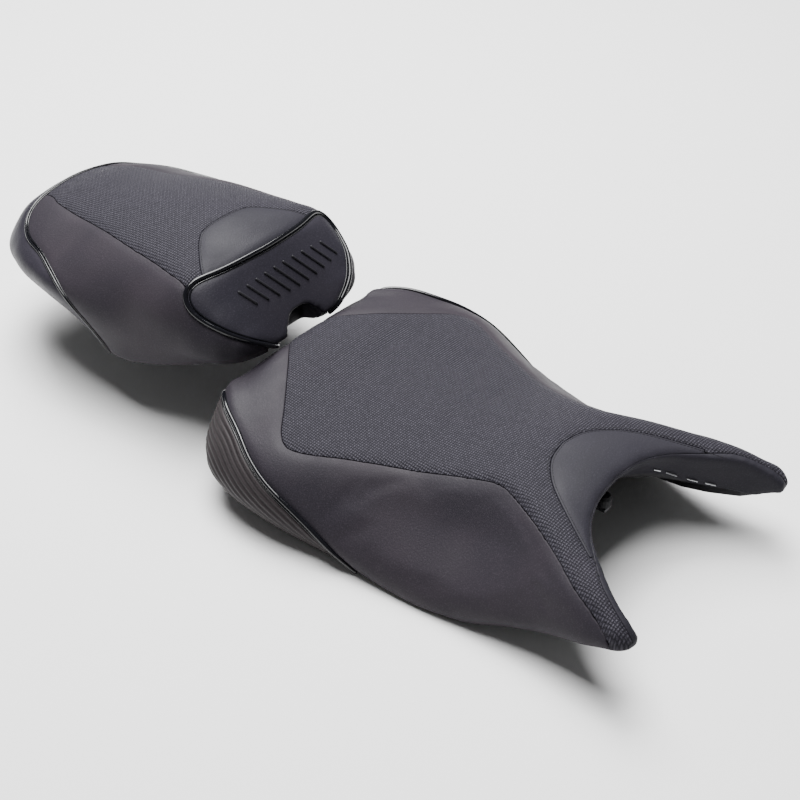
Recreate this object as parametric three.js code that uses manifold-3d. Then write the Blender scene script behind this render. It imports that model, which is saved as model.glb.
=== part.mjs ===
import * as THREE from 'three';
import Module from 'manifold-3d';

const wasm = await Module();
wasm.setup();
const { Manifold, CrossSection } = wasm;

// Two-piece motorcycle seat. Millimetres, +Z up, the bike's front towards -Y.
// Curves are drawn with Y = 0 near the rider seat's nose; the whole part is then
// moved so that the frame origin is on the rider seat's rear bracket.
const ORIGIN = [0, 302, -66];

const SKIN = 2.4; // cover thickness
const CORE = 3.2; // foam and pan start this far inside the cover's outer face
const GAP = 0.3; // clearance between neighbouring pieces
const PAN = 3; // moulded base pan thickness
const COVER_RISE = 2.5; // the pan's rim shows this much below the cover
const SEAM = 0.2; // half the width of a seam between two cover panels
const COLUMNS = 7; // strips from crown to hem on each side
const RIDER_CORD = 2.3; // piping radii
const FACE_CORD = 2.5;
const REAR_CORD = 1.6;
const STAPLE = 0.6; // staple wire radius
const SMOOTH = 0.1; // facets flatter than this are merged
const FAR = 400;

// Guide curves as [y, x, z]; a section at any y runs crown, shoulder, flank, widest, hem.
const RIDER = {
  rows: [-118, -110, -96, -75, -50, -25, 0, 28, 60, 95, 130, 170, 210, 248, 275, 300, 322, 336,
    344, 348],
  crown: [[-118, 0, -19], [-88, 0, -8], [-50, 0, 2], [0, 0, 19], [40, 0, 22], [110, 0, 11],
    [180, 0, 4], [248, 0, 5], [318, 0, 12], [341, 0, 8], [348, 0, 2]],
  shoulder: [[-118, 116, -21], [-110, 116, -14], [-88, 113, -3], [-50, 104, 4], [0, 86, 12],
    [50, 69, 13], [92, 75, 5], [121, 84, -1], [174, 104, -4], [248, 130, -5], [285, 126, -3],
    [328, 98, 2], [348, 80, 1]],
  flank: [[-118, 128, -23], [-110, 132, -17], [-88, 130, -12], [-50, 123, -7], [0, 108, -12],
    [50, 102, -24], [110, 114, -30], [174, 133, -26], [248, 161, -23], [285, 154, -15],
    [328, 126, -1.5], [348, 108, 0]],
  widest: [[-118, 130, -26], [-110, 136, -28], [-88, 139, -34], [-32, 139, -48], [30, 147, -66],
    [92, 155, -71], [174, 163, -64], [248, 176, -53], [285, 175, -49], [328, 158, -41],
    [341, 143, -38], [348, 126, -35]],
  hem: [[-118, 124, -31], [-110, 125, -34], [-88, 126, -44], [-32, 127, -67], [0, 134, -76],
    [30, 144, -84], [60, 151, -87], [174, 154, -87], [260, 153, -87], [310, 144, -84],
    [328, 134, -79], [341, 120, -69], [348, 108, -58]],
  // hollow under the pan as [y, half width, ceiling z, chamfer]
  hollow: [[-92, 108, -29, 8], [-55, 110, -35, 14], [-22, 113, -30, 34], [0, 117, -25, 42],
    [60, 130, -25, 48], [120, 134, -44, 34], [170, 134, -44, 16], [260, 134, -44, 12],
    [300, 126, -44, 12], [322, 100, -44, 12]],
};
const PILLION = {
  rows: [343, 348, 354, 362, 373, 384, 394, 406, 422, 445, 475, 510, 550, 595, 630, 660, 682, 700,
    713],
  crown: [[343, 0, 12], [347, 0, 20], [361, 0, 41], [384, 0, 71], [393, 0, 82], [411, 0, 90],
    [441, 0, 95], [475, 0, 95], [536, 0, 88], [595, 0, 78], [655, 0, 67], [693, 0, 52],
    [706, 0, 40], [713, 0, 28]],
  shoulder: [[343, 34, 15], [347, 52, 24], [361, 78, 39], [384, 88, 58], [411, 91, 76],
    [441, 86, 78], [475, 82, 77], [536, 80, 71], [595, 71, 63], [655, 64, 56], [693, 55, 43],
    [706, 47, 32], [713, 38, 22]],
  flank: [[343, 46, 15.5], [347, 66, 24], [361, 90, 32], [384, 104, 40], [411, 113, 47],
    [475, 111, 52], [536, 112, 48], [595, 107, 44], [655, 90, 43], [693, 70, 32], [706, 57, 24],
    [713, 45, 17]],
  widest: [[343, 52, 14], [347, 69, 17], [361, 90, 14], [411, 114, 18], [475, 124, 22],
    [536, 129, 24], [595, 126, 28], [655, 108, 25], [693, 83, 16], [706, 67, 12], [713, 52, 10]],
  hem: [[343, 46, 10.5], [347, 52, 9], [352, 56, 2], [361, 64, -4], [393, 91, -9],
    [441, 116, -18], [475, 124, -24], [509, 120, -27], [536, 116, -18], [565, 115, -9],
    [595, 115, -2], [655, 105, 4], [693, 83, 5], [713, 52, 6]],
  hollow: [[366, 44, 10, 12], [380, 57, 24, 12], [405, 78, 24, 12], [420, 86, 30, 12],
    [475, 102, 30, 14], [536, 98, 30, 14], [595, 95, 30, 14], [640, 86, 30, 14], [690, 56, 20, 12]],
};

// Tank notch between the horns: lip outline [x, y] and how far it runs back per mm of depth.
const NOTCH_Z = 10;
const NOTCH = [[0, -18, 0.84], [20, -20, 0.8], [38, -25, 0.72], [61, -37, 0.5], [79, -54, 0.27],
  [103, -82, 0.08], [112, -100, 0], [116, -112, 0], [118, -124, 0]];
// Lower edge of the cover on the notch wall, in side view [y, z]; the pan's rim shows below it.
const NOTCH_EDGE = [[-140, -45], [-60, -36], [-42, -31], [-28, -24], [0, -17], [60, -17]];
// Arch under the pillion's face, in front view [x, z].
const ARCH = [[27, -60], [27, 6], [23, 17], [13, 26], [0, 29]];

// Seams in plan view [x, y], right half from rear to front.
const RIDER_WEAVE = [[8, 370], [20, 350], [38, 332], [72, 303], [103, 278], [127, 259], [134, 247],
  [132, 232], [112, 189], [85, 121], [75, 85], [71, 55], [80, 28], [94, -3], [105, -26],
  [122, -58], [131, -84], [139, -106], [139, -140]];
const NOSE = [[0, 41], [24, 36], [44, 22], [58, 5], [77, -26], [96, -62], [106, -86],
  [106, -140]];
const PILLION_WEAVE = [[38, 700], [44, 662], [52, 644], [64, 578], [77, 510], [84, 460],
  [92, 411], [96, 380]];
const DOME = [[0, 451], [22, 450.5], [32, 448.5], [43, 441], [59, 424.5], [72, 408], [80, 390]];
// Seams in side view [y, z].
const RIDER_PIPE = [[146, -87], [157, -77], [176, -64], [198, -51], [226, -36.5],
  [252, -25.5], [276, -16], [297, -8.5], [312, -5], [328, -3], [348, -3]];
const PILLION_PIPE = [[497, -30], [503, -22], [520, -5], [537, 13], [552, 26], [568, 34],
  [590, 39], [612, 42], [650, 43], [668, 46], [678, 54], [682, 62]];
// Outline of the pillion's face in front view [x, z], from the middle of its top edge down.
const FACE = [[0, 81.5], [22, 81.5], [55, 79.5], [84, 77.5], [92, 74], [99, 66], [101, 58],
  [95, 47], [82, 35], [62, 22], [46, 13], [38, 7]];
const BACK_HALF = 101; // half width of the rider seat's back panel
const BACK_Z = -3; // height of its top edge

// Smooth curve through [t, ...values] knots.
function along(knots, t) {
  const last = knots.length - 1;
  const slope = (i, k) => {
    const step = (a) => (knots[a + 1][k] - knots[a][k]) / (knots[a + 1][0] - knots[a][0]);
    if (i === 0) return step(0);
    if (i === last) return step(last - 1);
    const before = knots[i][0] - knots[i - 1][0];
    const after = knots[i + 1][0] - knots[i][0];
    return (step(i - 1) * after + step(i) * before) / (before + after);
  };
  let i = 0;
  while (i < last - 1 && t > knots[i + 1][0]) i += 1;
  const h = knots[i + 1][0] - knots[i][0];
  const s = (t - knots[i][0]) / h;
  return knots[i].slice(1).map((a, j) => {
    const k = j + 1;
    const b = knots[i + 1][k];
    return (2 * s ** 3 - 3 * s ** 2 + 1) * a + (s ** 3 - 2 * s ** 2 + s) * h * slope(i, k)
      + (3 * s ** 2 - 2 * s ** 3) * b + (s ** 3 - s ** 2) * h * slope(i + 1, k);
  });
}

// Straight-line interpolation of [t, ...values] knots.
function straight(knots, t) {
  let i = 0;
  while (i < knots.length - 2 && t > knots[i + 1][0]) i += 1;
  const s = (t - knots[i][0]) / (knots[i + 1][0] - knots[i][0]);
  return knots[i].slice(1).map((a, j) => a + s * (knots[i + 1][j + 1] - a));
}

// Right half of a seat section at y as [x, z] points from crown to hem.
function halfSection(seat, y, count) {
  const [, crown] = along(seat.crown, y);
  const shoulder = along(seat.shoulder, y);
  const guides = [[0, crown], [shoulder[0] * 0.55, crown - (crown - shoulder[1]) * 0.3],
    shoulder, along(seat.flank, y), along(seat.widest, y), along(seat.hem, y)];
  const p = guides.map(([x, z]) => new THREE.Vector3(x, 0, z));
  p.unshift(new THREE.Vector3(-p[1].x, 0, p[1].z));
  p.push(p[6].clone().multiplyScalar(2).sub(p[5]));
  const knot = [0];
  for (let i = 1; i < p.length; i += 1) {
    knot.push(knot[i - 1] + Math.sqrt(Math.max(p[i].distanceTo(p[i - 1]), 0.001)));
  }
  const blend = (a, b, from, to, t) => {
    const s = (t - from) / (to - from);
    return a.clone().multiplyScalar(1 - s).addScaledVector(b, s);
  };
  const points = [];
  for (let n = 0; n <= count; n += 1) {
    const t = knot[1] + (n / count) * (knot[6] - knot[1]);
    let i = 1;
    while (i < 5 && t > knot[i + 1]) i += 1;
    const a1 = blend(p[i - 1], p[i], knot[i - 1], knot[i], t);
    const a2 = blend(p[i], p[i + 1], knot[i], knot[i + 1], t);
    const a3 = blend(p[i + 1], p[i + 2], knot[i + 1], knot[i + 2], t);
    const b1 = blend(a1, a2, knot[i - 1], knot[i + 1], t);
    const b2 = blend(a2, a3, knot[i], knot[i + 2], t);
    const c = blend(b1, b2, knot[i], knot[i + 1], t);
    points.push([c.x, c.z]);
  }
  return points;
}

// Moves an open [x, z] line inwards, keeping its first point on the middle plane.
function insetLine(line, inset) {
  return line.map(([x, z], i) => {
    const a = line[Math.max(i - 1, 0)];
    const b = line[Math.min(i + 1, line.length - 1)];
    const length = Math.hypot(b[0] - a[0], b[1] - a[1]);
    const nx = -(b[1] - a[1]) / length;
    const nz = (b[0] - a[0]) / length;
    return i === 0 ? [0, z - inset] : [x - nx * inset, z - nz * inset];
  });
}

function fromTriangles(points, triangles) {
  return new Manifold(new wasm.Mesh({
    numProp: 3,
    vertProperties: new Float32Array(points.flat()),
    triVerts: new Uint32Array(triangles.flat()),
  }));
}

// Closed solid through equal-length loops of [x, y, z] points. Facets past the middle of a
// loop are split the other way, so that a loop with two like halves gives two like sides.
function loft(loops) {
  const n = loops[0].length;
  const points = loops.flat();
  const triangles = [];
  for (let r = 0; r < loops.length - 1; r += 1) {
    for (let c = 0; c < n; c += 1) {
      const a = r * n + c;
      const b = r * n + ((c + 1) % n);
      if (2 * c < n - 1) triangles.push([a, b, b + n], [a, b + n, a + n]);
      else triangles.push([a, b, a + n], [b, b + n, a + n]);
    }
  }
  for (const [r, flip] of [[0, true], [loops.length - 1, false]]) {
    const middle = points.length;
    const sum = [0, 1, 2].map((k) => loops[r].reduce((s, q) => s + q[k], 0) / n);
    points.push(sum);
    for (let c = 0; c < n; c += 1) {
      const a = r * n + c;
      const b = r * n + ((c + 1) % n);
      triangles.push(flip ? [b, a, middle] : [a, b, middle]);
    }
  }
  const solid = fromTriangles(points, triangles);
  return solid.volume() > 0 ? solid : fromTriangles(points, triangles.map(([a, b, c]) => [a, c, b]));
}

// The seat's outside, moved in by inset; drop lowers the open underside.
function seatBody(seat, inset, drop) {
  const first = seat.rows[0];
  const last = seat.rows[seat.rows.length - 1];
  const squeeze = 1 - (2 * inset) / (last - first);
  return loft(seat.rows.map((y) => {
    const half = insetLine(halfSection(seat, y, COLUMNS), inset);
    const [hemX] = half[half.length - 1];
    const right = inset > 0 ? [...half, [hemX, along(seat.hem, y)[1] - drop]] : half;
    const loop = [...right.slice(1).reverse().map(([x, z]) => [-x, z]), ...right];
    const at = first + inset + (y - first) * squeeze;
    return loop.map(([x, z]) => [x, at, z]);
  }));
}

// The hollow under the pan, made larger by grow.
function hollow(seat, grow) {
  const rows = seat.hollow;
  return loft(rows.map(([y, half, ceiling, chamfer], i) => {
    const w = half + grow;
    const top = ceiling + grow;
    const c = chamfer;
    const ends = i === 0 ? -grow : 0;
    const shift = i === rows.length - 1 ? grow : ends;
    const loop = [[-w, -FAR], [-w, top - c], [-w + c, top], [w - c, top], [w, top - c], [w, -FAR]];
    return loop.map(([x, z]) => [x, y + shift, z]);
  }));
}

// Everything lower than the hem line raised by rise.
function underHem(seat, rise) {
  const line = seat.rows.map((y) => [y, along(seat.hem, y)[1] + rise]);
  const first = line[0];
  const last = line[line.length - 1];
  return sideBlade([[first[0] - 20, -FAR], [first[0] - 20, first[1]], ...line,
    [last[0] + 20, last[1]], [last[0] + 20, -FAR]]);
}

function section(outline, grow) {
  const flat = new CrossSection([outline], 'Positive');
  const area = flat.area() > 0.001 ? flat : new CrossSection([[...outline].reverse()], 'Positive');
  return grow ? area.offset(grow, 'Miter', 2) : area;
}

const mirrored = (half) => [...half, ...half.slice().reverse().map(([a, b]) => [-a, b])];

// Prisms cut along Z, along Y and along X.
const planBlade = (outline, grow = 0) => section(outline, grow).extrude(2 * FAR).translate([0, 0, -FAR]);
const frontBlade = (outline, from, to, grow = 0) => section(outline, grow).extrude(to - from)
  .rotate([90, 0, 0]).translate([0, to, 0]);
const sideBlade = (outline, grow = 0, half = FAR) => section(outline, grow).extrude(2 * half)
  .rotate([90, 0, 90]).translate([-half, 0, 0]);

// The tank notch, made larger by grow.
function notch(grow) {
  const at = (z) => {
    const half = NOTCH.map(([x, y, back]) => [x, y + back * (NOTCH_Z - z)]);
    const moved = half.map(([x, y], i) => {
      const a = half[Math.max(i - 1, 0)];
      const b = half[Math.min(i + 1, half.length - 1)];
      const length = Math.hypot(b[0] - a[0], b[1] - a[1]);
      const nx = -(b[1] - a[1]) / length;
      const ny = (b[0] - a[0]) / length;
      return i === 0 ? [0, y + grow] : [x + nx * grow, y + ny * grow];
    });
    const tip = moved[moved.length - 1];
    const right = [...moved, [tip[0], -180]];
    return [...right.slice(1).reverse().map(([x, y]) => [-x, y]), ...right].map(([x, y]) => [x, y, z]);
  };
  return loft([60, 24, 12, 0, -12, -24, -36, -60, -120].map(at));
}

// The part of the notch wall below the cover's edge, reaching depth into the wall.
const belowEdge = (depth, rise) => notch(depth).intersect(sideBlade(
  [...NOTCH_EDGE.map(([y, z]) => [y, z + rise]), [60, -FAR], [-140, -FAR]],
));

const arch = (grow) => frontBlade(mirrored(ARCH), 320, 374, grow);

// Round cord through [x, y, z] points.
function cord(points, radius, sides = 8) {
  const path = points.map((q) => new THREE.Vector3(...q));
  let normal = null;
  return loft(path.map((q, i) => {
    const ahead = path[Math.min(i + 1, path.length - 1)];
    const behind = path[Math.max(i - 1, 0)];
    const tangent = ahead.clone().sub(behind).normalize();
    if (!normal) normal = new THREE.Vector3(1, 0, 0).cross(tangent);
    if (normal.length() < 0.2) normal = new THREE.Vector3(0, 0, 1).cross(tangent);
    normal.addScaledVector(tangent, -normal.dot(tangent)).normalize();
    const side = tangent.clone().cross(normal);
    const loop = [];
    for (let k = 0; k < sides; k += 1) {
      const angle = (2 * Math.PI * k) / sides;
      const v = q.clone().addScaledVector(normal, radius * Math.cos(angle));
      v.addScaledVector(side, radius * Math.sin(angle));
      loop.push([v.x, v.y, v.z]);
    }
    return loop;
  }));
}

// x on the seat's side where its section at y has height z, below the shoulder.
function sideX(seat, y, z) {
  const half = halfSection(seat, y, 60);
  for (let i = half.length - 1; i > 0; i -= 1) {
    const [x0, z0] = half[i];
    const [x1, z1] = half[i - 1];
    if ((z0 - z) * (z1 - z) <= 0) return x0 + ((x1 - x0) * (z - z0)) / (z1 - z0 || 1);
  }
  return half[0][0];
}

// z on top of the seat at x, y.
function topZ(seat, x, y) {
  const half = halfSection(seat, y, 60);
  for (let i = 0; i < half.length - 1; i += 1) {
    const [x0, z0] = half[i];
    const [x1, z1] = half[i + 1];
    if (x0 <= x && x <= x1) return z0 + ((z1 - z0) * (x - x0)) / (x1 - x0 || 1);
  }
  return -FAR;
}

// y between low and high at which test changes from false to true.
function crossing(low, high, test) {
  let [a, b] = [low, high];
  for (let i = 0; i < 30; i += 1) {
    const y = (a + b) / 2;
    if (test(y)) b = y;
    else a = y;
  }
  return (a + b) / 2;
}

// y on the pillion's front where its section first holds the point x, z.
function frontY(x, z) {
  return crossing(343, 440, (y) => {
    const half = halfSection(PILLION, y, 60);
    const [hemX, hemZ] = half[half.length - 1];
    if (z < hemZ) return x < hemX;
    return topZ(PILLION, x, y) > z && sideX(PILLION, y, Math.max(z, hemZ + 0.1)) > x;
  });
}

const bothSides = (half) => [...half.slice(1).reverse().map(([x, y, z]) => [-x, y, z]), ...half];
const mirrorX = (solid) => solid.mirror([1, 0, 0]);

function riderPipePath() {
  const ys = [343, 334, 322, 308, 293, 276, 258, 240, 220, 200, 182, 166, 154, 149];
  const side = ys.map((y) => {
    const [z] = straight(RIDER_PIPE, y);
    return [sideX(RIDER, y, z), y, z];
  });
  const [topX] = side[0];
  const back = [[99, 348, -54], [100, 348, -32], [101, 348, -15], [topX - 2, 346.6, -5]];
  return [...back, ...side];
}

function rearPipePath() {
  const across = [0, 20, 38, 54, 68, 80].map((x) => {
    const y = crossing(630, 690, (t) => straight(PILLION_PIPE, t)[0] > topZ(PILLION, x, t));
    return [x, y, topZ(PILLION, x, y)];
  });
  const down = [646, 628, 610, 590, 571, 554, 538, 522, 508, 501].map((y) => {
    const [z] = straight(PILLION_PIPE, y);
    return [sideX(PILLION, y, z), y, z];
  });
  return bothSides([...across, ...down]);
}

function facePipePath() {
  const half = FACE.map(([x, z]) => [x, frontY(x, z), z]);
  return bothSides(half);
}

// The biggest body of a solid that a cut has left with loose crumbs.
function largest(solid) {
  const bodies = solid.decompose().sort((a, b) => b.volume() - a.volume());
  return bodies[0];
}

const rightHalf = (solid) => largest(solid.trimByPlane([-1, 0, 0], 0.5));

const COLOURS = {
  weave: [0x2b2a2e, 0.75, 0],
  vinyl: [0x232226, 0.6, 0],
  ribbed: [0x241f22, 0.5, 0],
  gloss: [0x0b0b0d, 0.2, 0],
  foam: [0x6b6a60, 0.95, 0],
  plastic: [0x17171a, 0.7, 0],
  rubber: [0x101012, 0.85, 0],
  steel: [0xb4b6ba, 0.35, 1],
  plate: [0x2a2b2e, 0.5, 0.8],
};

const group = new THREE.Group();
group.position.set(-ORIGIN[0], -ORIGIN[1], -ORIGIN[2]);

function addPart(name, solid, colour) {
  const mesh = largest(solid.simplify(SMOOTH)).getMesh();
  const geometry = new THREE.BufferGeometry();
  geometry.setAttribute('position', new THREE.BufferAttribute(new Float32Array(mesh.vertProperties), 3));
  geometry.setIndex(new THREE.BufferAttribute(new Uint32Array(mesh.triVerts), 1));
  geometry.computeVertexNormals();
  const [color, roughness, metalness] = COLOURS[colour];
  const material = new THREE.MeshStandardMaterial({ color, roughness, metalness });
  const part = new THREE.Mesh(geometry, material);
  part.name = name;
  group.add(part);
}

// A piece on the right side and its mirror image on the left.
function addPair(name, solid, colour) {
  addPart(`${name}_right`, solid, colour);
  addPart(`${name}_left`, mirrorX(solid), colour);
}

const disc = (radius, height, [x, y, z], sides = 20) => Manifold
  .cylinder(height, radius, radius, sides).translate([x, y, z]);

// Cover, foam and pan blanks of one seat.
function blanks(seat, opening, groove) {
  const inside = hollow(seat, 0);
  const core = seatBody(seat, CORE, 0).subtract(opening(CORE));
  const cover = seatBody(seat, 0, 0)
    .subtract(opening(0))
    .subtract(seatBody(seat, SKIN, 60).subtract(opening(SKIN)))
    .subtract(inside)
    .subtract(underHem(seat, COVER_RISE))
    .subtract(groove);
  const foam = core
    .subtract(hollow(seat, PAN + GAP))
    .subtract(underHem(seat, PAN + GAP))
    .subtract(groove);
  const tray = core.intersect(hollow(seat, PAN)).subtract(inside);
  const flange = core.intersect(underHem(seat, PAN)).subtract(inside);
  return { cover, foam, pan: tray.add(flange) };
}

// Screw with a domed head under a plate whose lower face is at z.
function screw([x, y, z], radius, headRadius, length) {
  const profile = [[0, -4], [headRadius * 0.7, -3.5], [headRadius, -1.8], [headRadius, -GAP],
    [radius, -GAP], [radius, length], [0, length]];
  const flat = new CrossSection([profile], 'Positive');
  return flat.revolve(12).translate([x, y, z]);
}

function riderSeat() {
  const path = riderPipePath();
  const side = cord(path, RIDER_CORD);
  const wide = cord(path, RIDER_CORD + GAP, 8);
  const { cover: blank, foam, pan } = blanks(RIDER, notch, wide.add(mirrorX(wide)));
  const cover = blank.subtract(belowEdge(SKIN + 2, 0));

  const weave = mirrored(RIDER_WEAVE);
  const nose = mirrored(NOSE);
  const below = [...RIDER_PIPE, [FAR, BACK_Z], [FAR, -FAR], [146, -FAR]];
  const backBox = (grow) => frontBlade([[-BACK_HALF, -FAR], [BACK_HALF, -FAR],
    [BACK_HALF, BACK_Z], [-BACK_HALF, BACK_Z]], 340 - grow, 400, grow);
  const back = cover.intersect(backBox(-SEAM));
  const rest = cover.subtract(backBox(SEAM));
  const border = rest.intersect(sideBlade(below, -SEAM));
  const upper = rest.subtract(sideBlade(below, SEAM));
  const wall = upper.intersect(notch(SKIN));
  const top = upper.subtract(notch(SKIN + 2 * SEAM));
  const middle = top.intersect(planBlade(weave, -SEAM));
  const sides = top.subtract(planBlade(weave, SEAM));

  addPart('rider_cover_centre', largest(middle.subtract(planBlade(nose, SEAM))), 'weave');
  addPart('rider_cover_nose', largest(middle.intersect(planBlade(nose, -SEAM))), 'vinyl');
  addPart('rider_cover_wall', largest(wall), 'vinyl');
  addPair('rider_cover_side', rightHalf(sides), 'vinyl');
  addPair('rider_cover_border', rightHalf(border), 'ribbed');
  addPart('rider_cover_back', largest(back), 'vinyl');
  addPair('rider_piping', mirrorX(side), 'gloss');
  const foamCut = belowEdge(CORE + PAN + GAP, 0);
  addPart('rider_foam', largest(foam.subtract(foamCut)), 'foam');
  const rim = seatBody(RIDER, CORE, 0).subtract(notch(CORE))
    .intersect(belowEdge(CORE + PAN, -GAP))
    .subtract(hollow(RIDER, 0));
  return pan.add(rim);
}

function riderHardware(pan) {
  const ceiling = -44;
  const front = -25;
  const screwRadius = 3;
  const holes = [];
  const plateHole = ([x, y]) => disc(screwRadius + GAP, 30, [x, y, ceiling - 10], 12);

  const rearScrews = [[-17, 274], [17, 274]];
  const top = ceiling - GAP;
  const z = ORIGIN[2];
  const profile = [[262, top], [262, top - 3], [286, top - 3], [286, z], [316, z], [316, z + 3],
    [289, z + 3], [289, top]];
  let bracket = sideBlade(profile, 0, 28);
  for (const place of rearScrews) {
    bracket = bracket.subtract(plateHole(place));
    holes.push(plateHole(place));
  }
  addPart('rider_rear_bracket', bracket, 'plate');
  rearScrews.forEach(([x, y], i) => {
    addPart(`rider_bracket_screw_${i + 1}`, screw([x, y, top - 3], screwRadius, 6, 5.9), 'steel');
  });

  const tongueTop = front - GAP;
  const tongueHole = disc(screwRadius + GAP, 30, [0, 36, front - 10], 12);
  const tongue = Manifold.cube([26, 41, 3], false).translate([-13, 8, tongueTop - 3])
    .add(Manifold.cube([11, 24, 3], false).translate([-5.5, -11, tongueTop - 3]))
    .subtract(tongueHole);
  holes.push(tongueHole);
  addPart('rider_front_tongue', tongue, 'plate');
  addPart('rider_tongue_screw', screw([0, 36, tongueTop - 3], screwRadius, 6, 5.9), 'steel');
  const knobProfile = [[0, 0], [5.4, 0], [6.6, 2], [6.6, 9], [5, 12], [2.5, 13], [0, 13]];
  const knob = new CrossSection([knobProfile], 'Positive').revolve(16);
  addPart('rider_tongue_knob', knob.translate([0, -6.5, tongueTop + GAP]), 'rubber');

  let drilled = pan;
  for (const hole of holes) drilled = drilled.subtract(hole);
  addPart('rider_base_pan', largest(drilled), 'plastic');

  const feet = [[-66, 34, front], [66, 34, front], [-98, 236, ceiling], [98, 236, ceiling]];
  feet.forEach(([x, y, roof], i) => {
    addPart(`rider_foot_${i + 1}`, disc(12, 16, [x, y, roof - GAP - 16]), 'rubber');
  });
}

// Staples on the inner wall of each horn, just above the cover's edge.
function staples() {
  const runs = [[54, -11, 61, -15.5], [65, -17.5, 72, -22], [78, -25.3, 84, -28.2],
    [88, -29.5, 93.5, -31.7]];
  runs.forEach((run, i) => {
    const ends = [run.slice(0, 2), run.slice(2)].map(([x, z]) => {
      const wall = NOTCH.map(([a, b, back]) => [a, b + back * (NOTCH_Z - z)]);
      return [x, straight(wall, x)[0], z];
    });
    const [[x0, y0], [x1, y1]] = ends;
    const span = Math.hypot(x1 - x0, y1 - y0);
    const clear = STAPLE + GAP;
    const offWall = ends.map(([x, y, z]) => [
      x + (clear * (y1 - y0)) / span, y - (clear * (x1 - x0)) / span, z]);
    const bar = cord(offWall, STAPLE, 6);
    addPart(`rider_staple_left_${i + 1}`, bar, 'steel');
    addPart(`rider_staple_right_${i + 1}`, mirrorX(bar), 'steel');
  });
}

function pillionSeat() {
  const facePath = facePipePath();
  const rearPath = rearPipePath();
  const groove = cord(facePath, FACE_CORD + GAP, 8).add(cord(rearPath, REAR_CORD + GAP, 6));
  const { cover, foam, pan } = blanks(PILLION, arch, groove);

  const faceOutline = mirrored([...FACE, [38, -60]]);
  const faceBlade = (grow) => frontBlade(faceOutline, 320, 425, grow);
  const behind = [...PILLION_PIPE, [684, 120], [760, 120], [760, -60], [490, -60]];
  const weave = mirrored(PILLION_WEAVE);
  const dome = mirrored(DOME);
  const face = cover.intersect(faceBlade(-SEAM));
  const rest = cover.subtract(faceBlade(SEAM));
  const border = rest.intersect(sideBlade(behind, -SEAM));
  const upper = rest.subtract(sideBlade(behind, SEAM));
  const middle = upper.intersect(planBlade(weave, -SEAM));
  const sides = upper.subtract(planBlade(weave, SEAM));

  addPart('pillion_cover_centre', largest(middle.subtract(planBlade(dome, SEAM))), 'weave');
  addPart('pillion_cover_dome', largest(middle.intersect(planBlade(dome, -SEAM))), 'vinyl');
  addPair('pillion_cover_side', rightHalf(sides), 'vinyl');
  addPart('pillion_cover_face', largest(face), 'vinyl');
  addPart('pillion_cover_border', largest(border), 'vinyl');
  addPart('pillion_piping_face', cord(facePath, FACE_CORD), 'gloss');
  addPart('pillion_piping_rear', cord(rearPath, REAR_CORD, 6), 'gloss');
  addPart('pillion_foam', largest(foam), 'foam');
  return pan;
}

function pillionHardware(pan) {
  const ceiling = 30;
  const front = 24;
  const screwRadius = 2.5;
  const top = ceiling - GAP;
  const screws = [[-20, 520], [20, 520]];
  let plate = Manifold.cube([60, 44, 3], true).translate([0, 520, top - 1.5]);
  let drilled = pan;
  for (const [x, y] of screws) {
    const hole = disc(screwRadius + GAP, 30, [x, y, top - 10], 12);
    plate = plate.subtract(hole);
    drilled = drilled.subtract(hole);
  }
  addPart('pillion_base_pan', largest(drilled), 'plastic');
  addPart('pillion_striker_plate', plate, 'plate');
  screws.forEach(([x, y], i) => {
    addPart(`pillion_striker_screw_${i + 1}`, screw([x, y, top - 3], screwRadius, 5, 5.9), 'steel');
  });
  const legTop = top - 3 - GAP;
  const drop = 30;
  const hoop = [[0, 505.5, legTop], [0, 505.5, legTop - drop + 10], [0, 508, legTop - drop + 3.5],
    [0, 514, legTop - drop], [0, 526, legTop - drop], [0, 532, legTop - drop + 3.5],
    [0, 534.5, legTop - drop + 10], [0, 534.5, legTop]];
  addPart('pillion_striker_hoop', cord(hoop, 3.5, 10), 'steel');
  [-1, 1].forEach((side) => {
    const profile = [[384, front - GAP], [384, front - GAP - 3], [392, front - GAP - 3], [392, 4],
      [374, 4], [374, 1], [395, 1], [395, front - GAP - 3], [403, front - GAP - 3],
      [403, front - GAP]];
    const hook = sideBlade(profile, 0, 9).translate([side * 40, 0, 0]);
    addPart(`pillion_front_hook_${side < 0 ? 'right' : 'left'}`, hook, 'plate');
  });
  const feet = [[-64, 440], [64, 440], [-62, 610], [62, 610]];
  feet.forEach(([x, y], i) => {
    addPart(`pillion_foot_${i + 1}`, disc(10, 18, [x, y, top - 18]), 'rubber');
  });
}

riderHardware(riderSeat());
staples();
pillionHardware(pillionSeat());

export default group;
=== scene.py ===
import math

import bpy
import numpy as np
from mathutils import Matrix, Vector
from mathutils.bvhtree import BVHTree
from mathutils.kdtree import KDTree


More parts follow.
